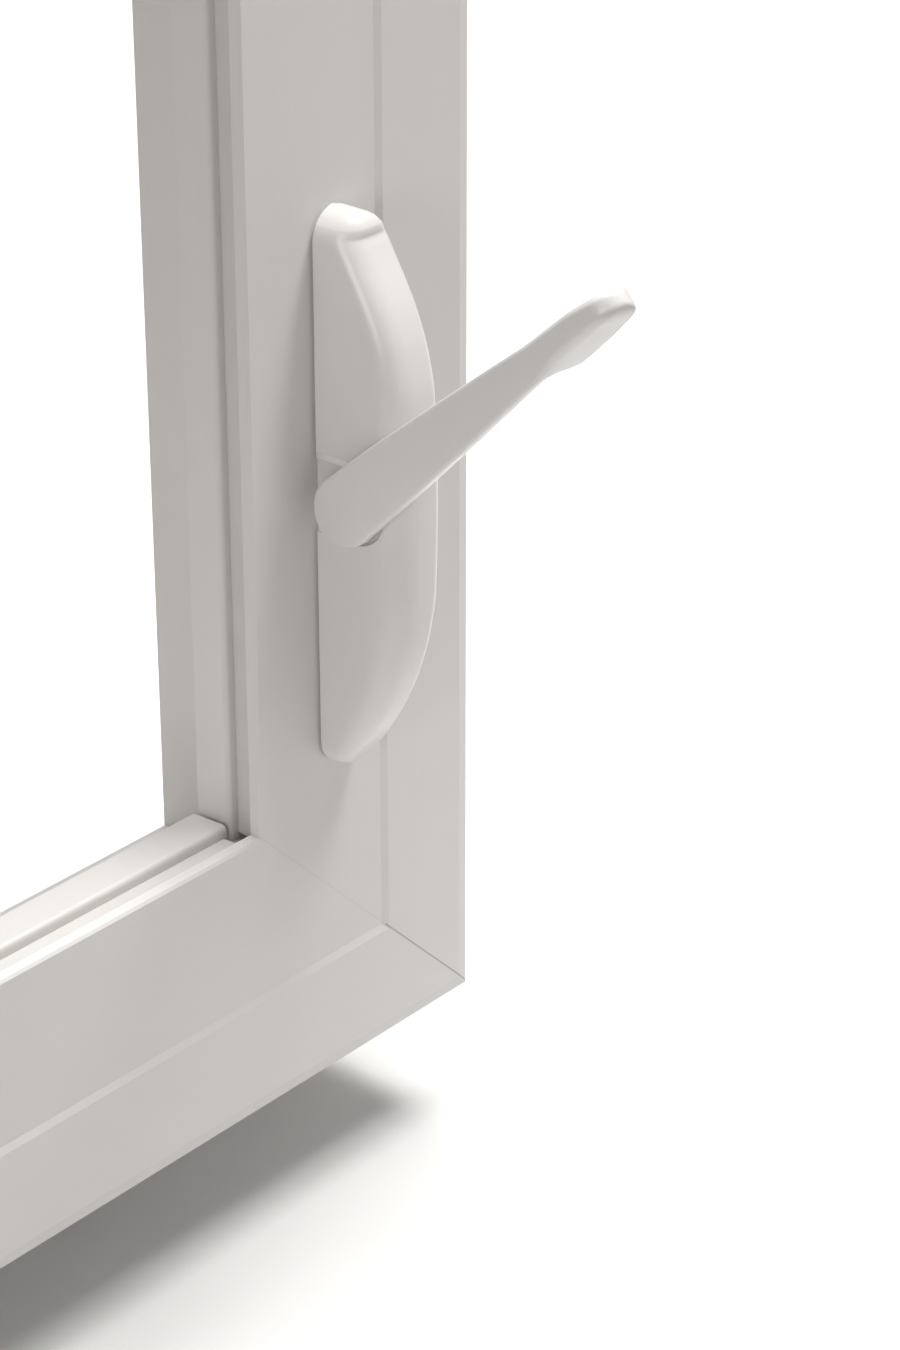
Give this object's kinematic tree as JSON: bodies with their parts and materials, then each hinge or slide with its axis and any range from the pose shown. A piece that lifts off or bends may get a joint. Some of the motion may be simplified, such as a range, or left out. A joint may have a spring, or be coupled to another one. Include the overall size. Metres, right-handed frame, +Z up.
{
  "type": "casement window",
  "caption": "Outswing casement window: hollow vinyl frame, glazed sash on sliding hinges, crank operator, lever lock with tie bar and studs.",
  "frame": {"origin": "centre of the window's fin hole pattern, in the plane where the nailing fin meets the wall", "axes": "+X to the right seen from the room, +Y from the room to the outdoors, +Z up"},
  "size_m": [0.674, 0.5918, 0.978],
  "materials": {
    "vinyl": "satin extruded vinyl",
    "coated_metal": "smooth white powder coat",
    "steel": "zinc plated",
    "glass": "clear float glass",
    "spacer": "mill finish",
    "seal": "matt",
    "nylon": "moulded"
  },
  "bodies": {
    "frame": {"frame_sill": "vinyl", "frame_head": "vinyl", "frame_hinge_jamb": "vinyl", "frame_lock_jamb": "vinyl", "stop_sill": "vinyl", "stop_head": "vinyl", "stop_hinge_jamb": "vinyl", "stop_lock_jamb": "vinyl", "groove_gasket": "vinyl", "frame_weatherseal": "seal", "nailing_fins": "vinyl", "hinge_track_lower": "steel", "hinge_track_upper": "steel", "track_pivot_pins": "steel", "track_screws": "steel", "operator_base": "steel", "operator_cover": "coated_metal", "operator_screws": "steel", "lock_housing": "coated_metal", "lock_base": "steel", "lock_screws": "steel", "tie_bar_guides": "steel"},
    "sash": {"sash_bottom_rail": "vinyl", "sash_top_rail": "vinyl", "sash_hinge_stile": "vinyl", "sash_lock_stile": "vinyl", "glazing_bead_bottom": "vinyl", "glazing_bead_top": "vinyl", "glazing_bead_hinge": "vinyl", "glazing_bead_lock": "vinyl", "pane_indoor": "glass", "pane_outdoor": "glass", "glass_spacer": "spacer", "gasket_indoor": "seal", "gasket_outdoor": "seal", "setting_blocks": "seal", "sash_bar_lower": "steel", "sash_bar_upper": "steel", "sash_bar_pins": "steel", "sash_bar_screws": "steel", "operator_sash_bracket": "steel", "keepers": "steel", "keeper_screws": "steel"},
    "lower_arm": {"support_arm_lower": "steel"},
    "upper_arm": {"support_arm_upper": "steel"},
    "lower_shoe": {"hinge_shoe_lower": "nylon"},
    "upper_shoe": {"hinge_shoe_upper": "nylon"},
    "gear_arm": {"operator_gear_arm": "steel"},
    "link": {"operator_link": "steel"},
    "crank": {"worm_shaft": "steel", "crank_handle": "coated_metal", "crank_set_screw": "steel"},
    "knob": {"crank_knob": "coated_metal"},
    "lever": {"lock_lever": "coated_metal", "lock_pinion": "steel"},
    "lock_bar": {"lock_rack": "steel", "lock_yoke": "steel", "tie_bar": "steel", "locking_studs": "steel"}
  },
  "joints": [
    {"name": "sash_swing", "type": "hinge", "parent": "frame", "child": "lower_arm", "pos_m": [-0.1, -0.004, -0.41825], "axis": [0, 0, -1], "range_deg": [-60, 20]},
    {"name": "sash_on_arm", "type": "hinge", "parent": "lower_arm", "child": "sash", "pos_m": [-0.14, 0.06528, -0.41825], "axis": [0, 0, 1], "range_deg": [-121, 41]},
    {"name": "lower_shoe_turn", "type": "hinge", "parent": "sash", "child": "lower_shoe", "pos_m": [-0.18, -0.004, -0.422], "axis": [0, 0, -1], "range_deg": [-61, 21]},
    {"name": "upper_shoe_turn", "type": "hinge", "parent": "sash", "child": "upper_shoe", "pos_m": [-0.18, -0.004, 0.422], "axis": [0, 0, -1], "range_deg": [-61, 21]},
    {"name": "upper_arm_turn", "type": "hinge", "parent": "frame", "child": "upper_arm", "pos_m": [-0.1, -0.004, 0.41825], "axis": [0, 0, -1], "range_deg": [-61, 21]},
    {"name": "gear_arm_turn", "type": "hinge", "parent": "frame", "child": "gear_arm", "pos_m": [-0.1, -0.004, -0.412], "axis": [0, 0, 1], "range_deg": [-61, 21]},
    {"name": "link_turn", "type": "hinge", "parent": "gear_arm", "child": "link", "pos_m": [-0.035, 0.10858, -0.405], "axis": [0, 0, -1], "range_deg": [-121, 41]},
    {"name": "crank_turn", "type": "hinge", "parent": "frame", "child": "crank", "pos_m": [-0.0748, -0.0652, -0.414], "axis": [0, 1, 0], "range_deg": [-1925, 645]},
    {"name": "knob_spin", "type": "hinge", "parent": "crank", "child": "knob", "pos_m": [-0.12918, -0.0912, -0.43936], "axis": [0, 1, 0], "continuous": true},
    {"name": "lever_turn", "type": "hinge", "parent": "frame", "child": "lever", "pos_m": [0.2599, -0.0567, -0.306], "axis": [1, 0, 0], "range_deg": [0, 134]},
    {"name": "lock_bar_slide", "type": "slide", "parent": "frame", "child": "lock_bar", "axis": [0, 0, 1], "range_m": [0, 0.01756]}
  ],
  "couplings": [
    {"joint": "sash_on_arm", "follows": "sash_swing", "ratio": 2},
    {"joint": "lower_shoe_turn", "follows": "sash_swing", "ratio": 1},
    {"joint": "upper_shoe_turn", "follows": "sash_swing", "ratio": 1},
    {"joint": "upper_arm_turn", "follows": "sash_swing", "ratio": 1},
    {"joint": "gear_arm_turn", "follows": "sash_swing", "ratio": 1},
    {"joint": "link_turn", "follows": "sash_swing", "ratio": 2},
    {"joint": "crank_turn", "follows": "sash_swing", "ratio": 32},
    {"joint": "lock_bar_slide", "follows": "lever_turn", "m_per_rad": 0.0075}
  ]
}
